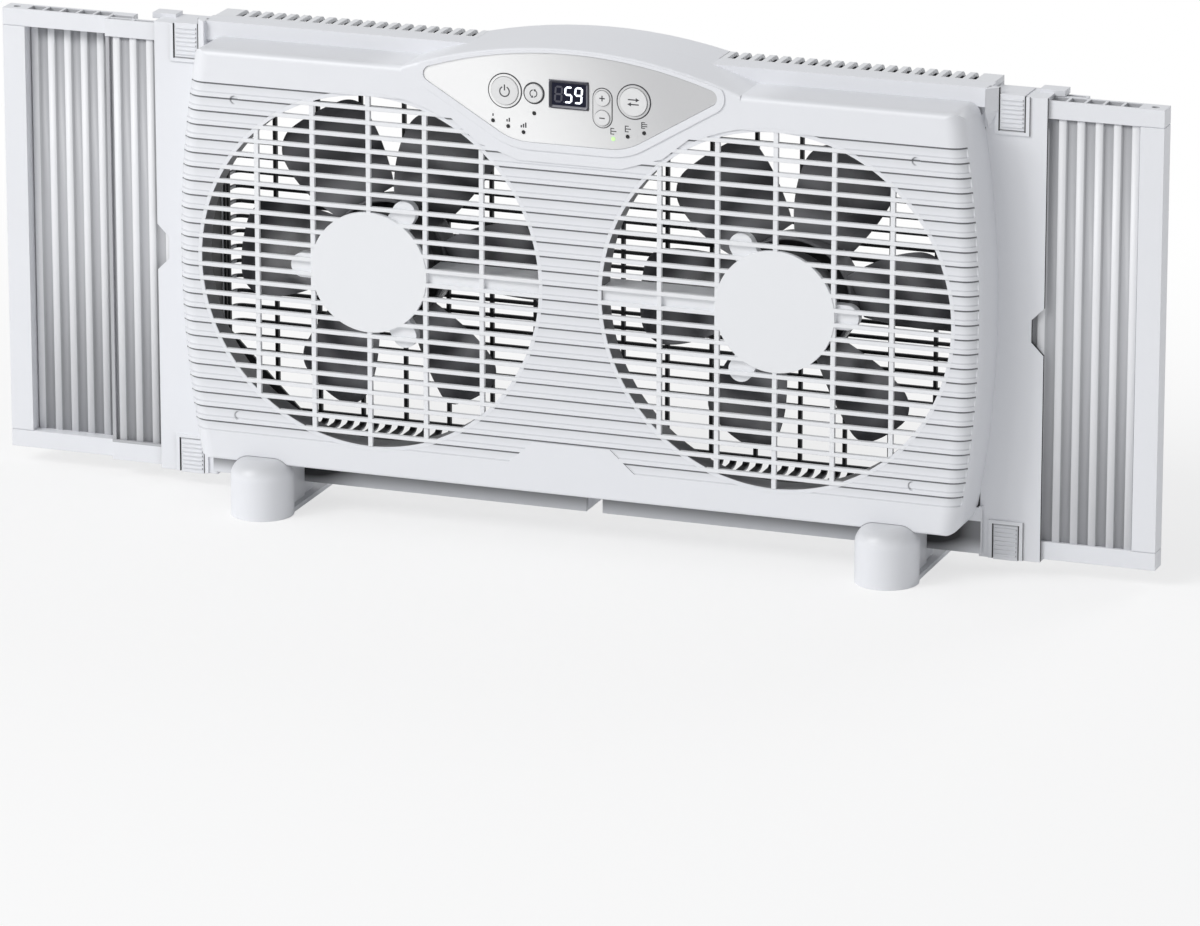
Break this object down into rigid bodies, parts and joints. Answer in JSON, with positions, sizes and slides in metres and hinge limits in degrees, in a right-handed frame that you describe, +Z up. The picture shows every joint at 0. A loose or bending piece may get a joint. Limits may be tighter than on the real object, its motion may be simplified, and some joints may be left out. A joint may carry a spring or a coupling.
{
  "type": "window fan",
  "caption": "Window fan with two impellers behind barred guards, a control plate, telescoping side panels, corner clips and feet.",
  "frame": {"origin": "middle of the overall box as shown, at the underside of the feet", "axes": "+X to the right seen from the controls, +Y from the controls to the rear grille, +Z up"},
  "size_m": [0.7854, 0.1181, 0.3249],
  "materials": {
    "white_plastic": "smooth moulded white plastic",
    "guard_plastic": "smooth moulded white plastic",
    "grille_plastic": "white plastic, slightly matt",
    "panel_plastic": "pale grey plastic",
    "sheet_plastic": "grey corrugated plastic",
    "plate_film": "pearly silver film",
    "button_plastic": "pale satin plastic",
    "bezel_plastic": "dark grey bevelled plastic",
    "dark_window": "near-black window",
    "lamp_lens": "small clear lenses",
    "blade_plastic": "dark grey plastic",
    "board_laminate": "green circuit board",
    "steel": "bright steel",
    "motor_steel": "grey painted steel",
    "winding": "copper-coloured windings",
    "bronze": "bronze bearing",
    "black_rubber": "black rubber"
  },
  "bodies": {
    "housing": {"left_collar": "guard_plastic", "right_collar": "guard_plastic", "left_motor_mount": "guard_plastic", "right_motor_mount": "guard_plastic", "left_duct": "guard_plastic", "right_duct": "guard_plastic", "front_cover": "white_plastic", "left_guard": "guard_plastic", "right_guard": "guard_plastic", "control_plate": "plate_film", "display_frame": "bezel_plastic", "display_window": "dark_window", "indicator_lights": "lamp_lens", "control_board": "board_laminate", "board_screws": "steel", "main_housing": "white_plastic", "rear_frame": "grille_plastic", "rear_slats": "grille_plastic", "left_rear_slats": "grille_plastic", "right_rear_slats": "grille_plastic", "housing_screws": "steel", "cord_gland": "black_rubber", "left_foot": "white_plastic", "right_foot": "white_plastic", "foot_screws": "steel", "left_stator": "winding", "left_can": "motor_steel", "left_bearings": "bronze", "left_motor_screws": "steel", "right_stator": "winding", "right_can": "motor_steel", "right_bearings": "bronze", "right_motor_screws": "steel"},
    "left_fan": {"left_impeller": "blade_plastic", "left_shaft": "steel", "left_nut": "steel", "left_rotor": "steel"},
    "right_fan": {"right_impeller": "blade_plastic", "right_shaft": "steel", "right_nut": "steel", "right_rotor": "steel"},
    "speed_key": {"speed_button": "button_plastic"},
    "mode_key": {"mode_button": "button_plastic"},
    "plus_key": {"plus_button": "button_plastic"},
    "minus_key": {"minus_button": "button_plastic"},
    "airflow_key": {"airflow_button": "button_plastic"},
    "clip_tl": {"top_left_clip": "white_plastic"},
    "clip_tr": {"top_right_clip": "white_plastic"},
    "clip_bl": {"bottom_left_clip": "white_plastic"},
    "clip_br": {"bottom_right_clip": "white_plastic"},
    "left_inner": {"left_inner_frame": "panel_plastic", "left_inner_sheet": "sheet_plastic"},
    "left_outer": {"left_outer_frame": "panel_plastic", "left_outer_sheet": "sheet_plastic"},
    "right_inner": {"right_inner_frame": "panel_plastic", "right_inner_sheet": "sheet_plastic"},
    "right_outer": {"right_outer_frame": "panel_plastic", "right_outer_sheet": "sheet_plastic"}
  },
  "joints": [
    {"name": "left_fan_spin", "type": "hinge", "parent": "housing", "child": "left_fan", "pos_m": [-0.1182, 0.00105, 0.168], "axis": [0, 1, 0], "continuous": true},
    {"name": "right_fan_spin", "type": "hinge", "parent": "housing", "child": "right_fan", "pos_m": [0.1548, 0.00105, 0.168], "axis": [0, 1, 0], "continuous": true},
    {"name": "speed_press", "type": "slide", "parent": "housing", "child": "speed_key", "axis": [0, 1, 0], "range_m": [0, 0.001], "stiffness_N_per_m": 600},
    {"name": "mode_press", "type": "slide", "parent": "housing", "child": "mode_key", "axis": [0, 1, 0], "range_m": [0, 0.001], "stiffness_N_per_m": 600},
    {"name": "plus_press", "type": "slide", "parent": "housing", "child": "plus_key", "axis": [0, 1, 0], "range_m": [0, 0.001], "stiffness_N_per_m": 600},
    {"name": "minus_press", "type": "slide", "parent": "housing", "child": "minus_key", "axis": [0, 1, 0], "range_m": [0, 0.001], "stiffness_N_per_m": 600},
    {"name": "airflow_press", "type": "slide", "parent": "housing", "child": "airflow_key", "axis": [0, 1, 0], "range_m": [0, 0.001], "stiffness_N_per_m": 600},
    {"name": "clip_tl_slide", "type": "slide", "parent": "housing", "child": "clip_tl", "axis": [0, 0, 1], "range_m": [0, 0.0045]},
    {"name": "clip_tr_slide", "type": "slide", "parent": "housing", "child": "clip_tr", "axis": [0, 0, 1], "range_m": [0, 0.0045]},
    {"name": "clip_bl_slide", "type": "slide", "parent": "housing", "child": "clip_bl", "axis": [0, 0, -1], "range_m": [0, 0.0045]},
    {"name": "clip_br_slide", "type": "slide", "parent": "housing", "child": "clip_br", "axis": [0, 0, -1], "range_m": [0, 0.0045]},
    {"name": "left_inner_slide", "type": "slide", "parent": "housing", "child": "left_inner", "axis": [-1, 0, 0], "range_m": [-0.015, 0.0083]},
    {"name": "left_outer_slide", "type": "slide", "parent": "left_inner", "child": "left_outer", "axis": [-1, 0, 0], "range_m": [-0.041, 0.0027]},
    {"name": "right_inner_slide", "type": "slide", "parent": "housing", "child": "right_inner", "axis": [1, 0, 0], "range_m": [0, 0.0234]},
    {"name": "right_outer_slide", "type": "slide", "parent": "right_inner", "child": "right_outer", "axis": [1, 0, 0], "range_m": [-0.0194, 0.0242]}
  ]
}
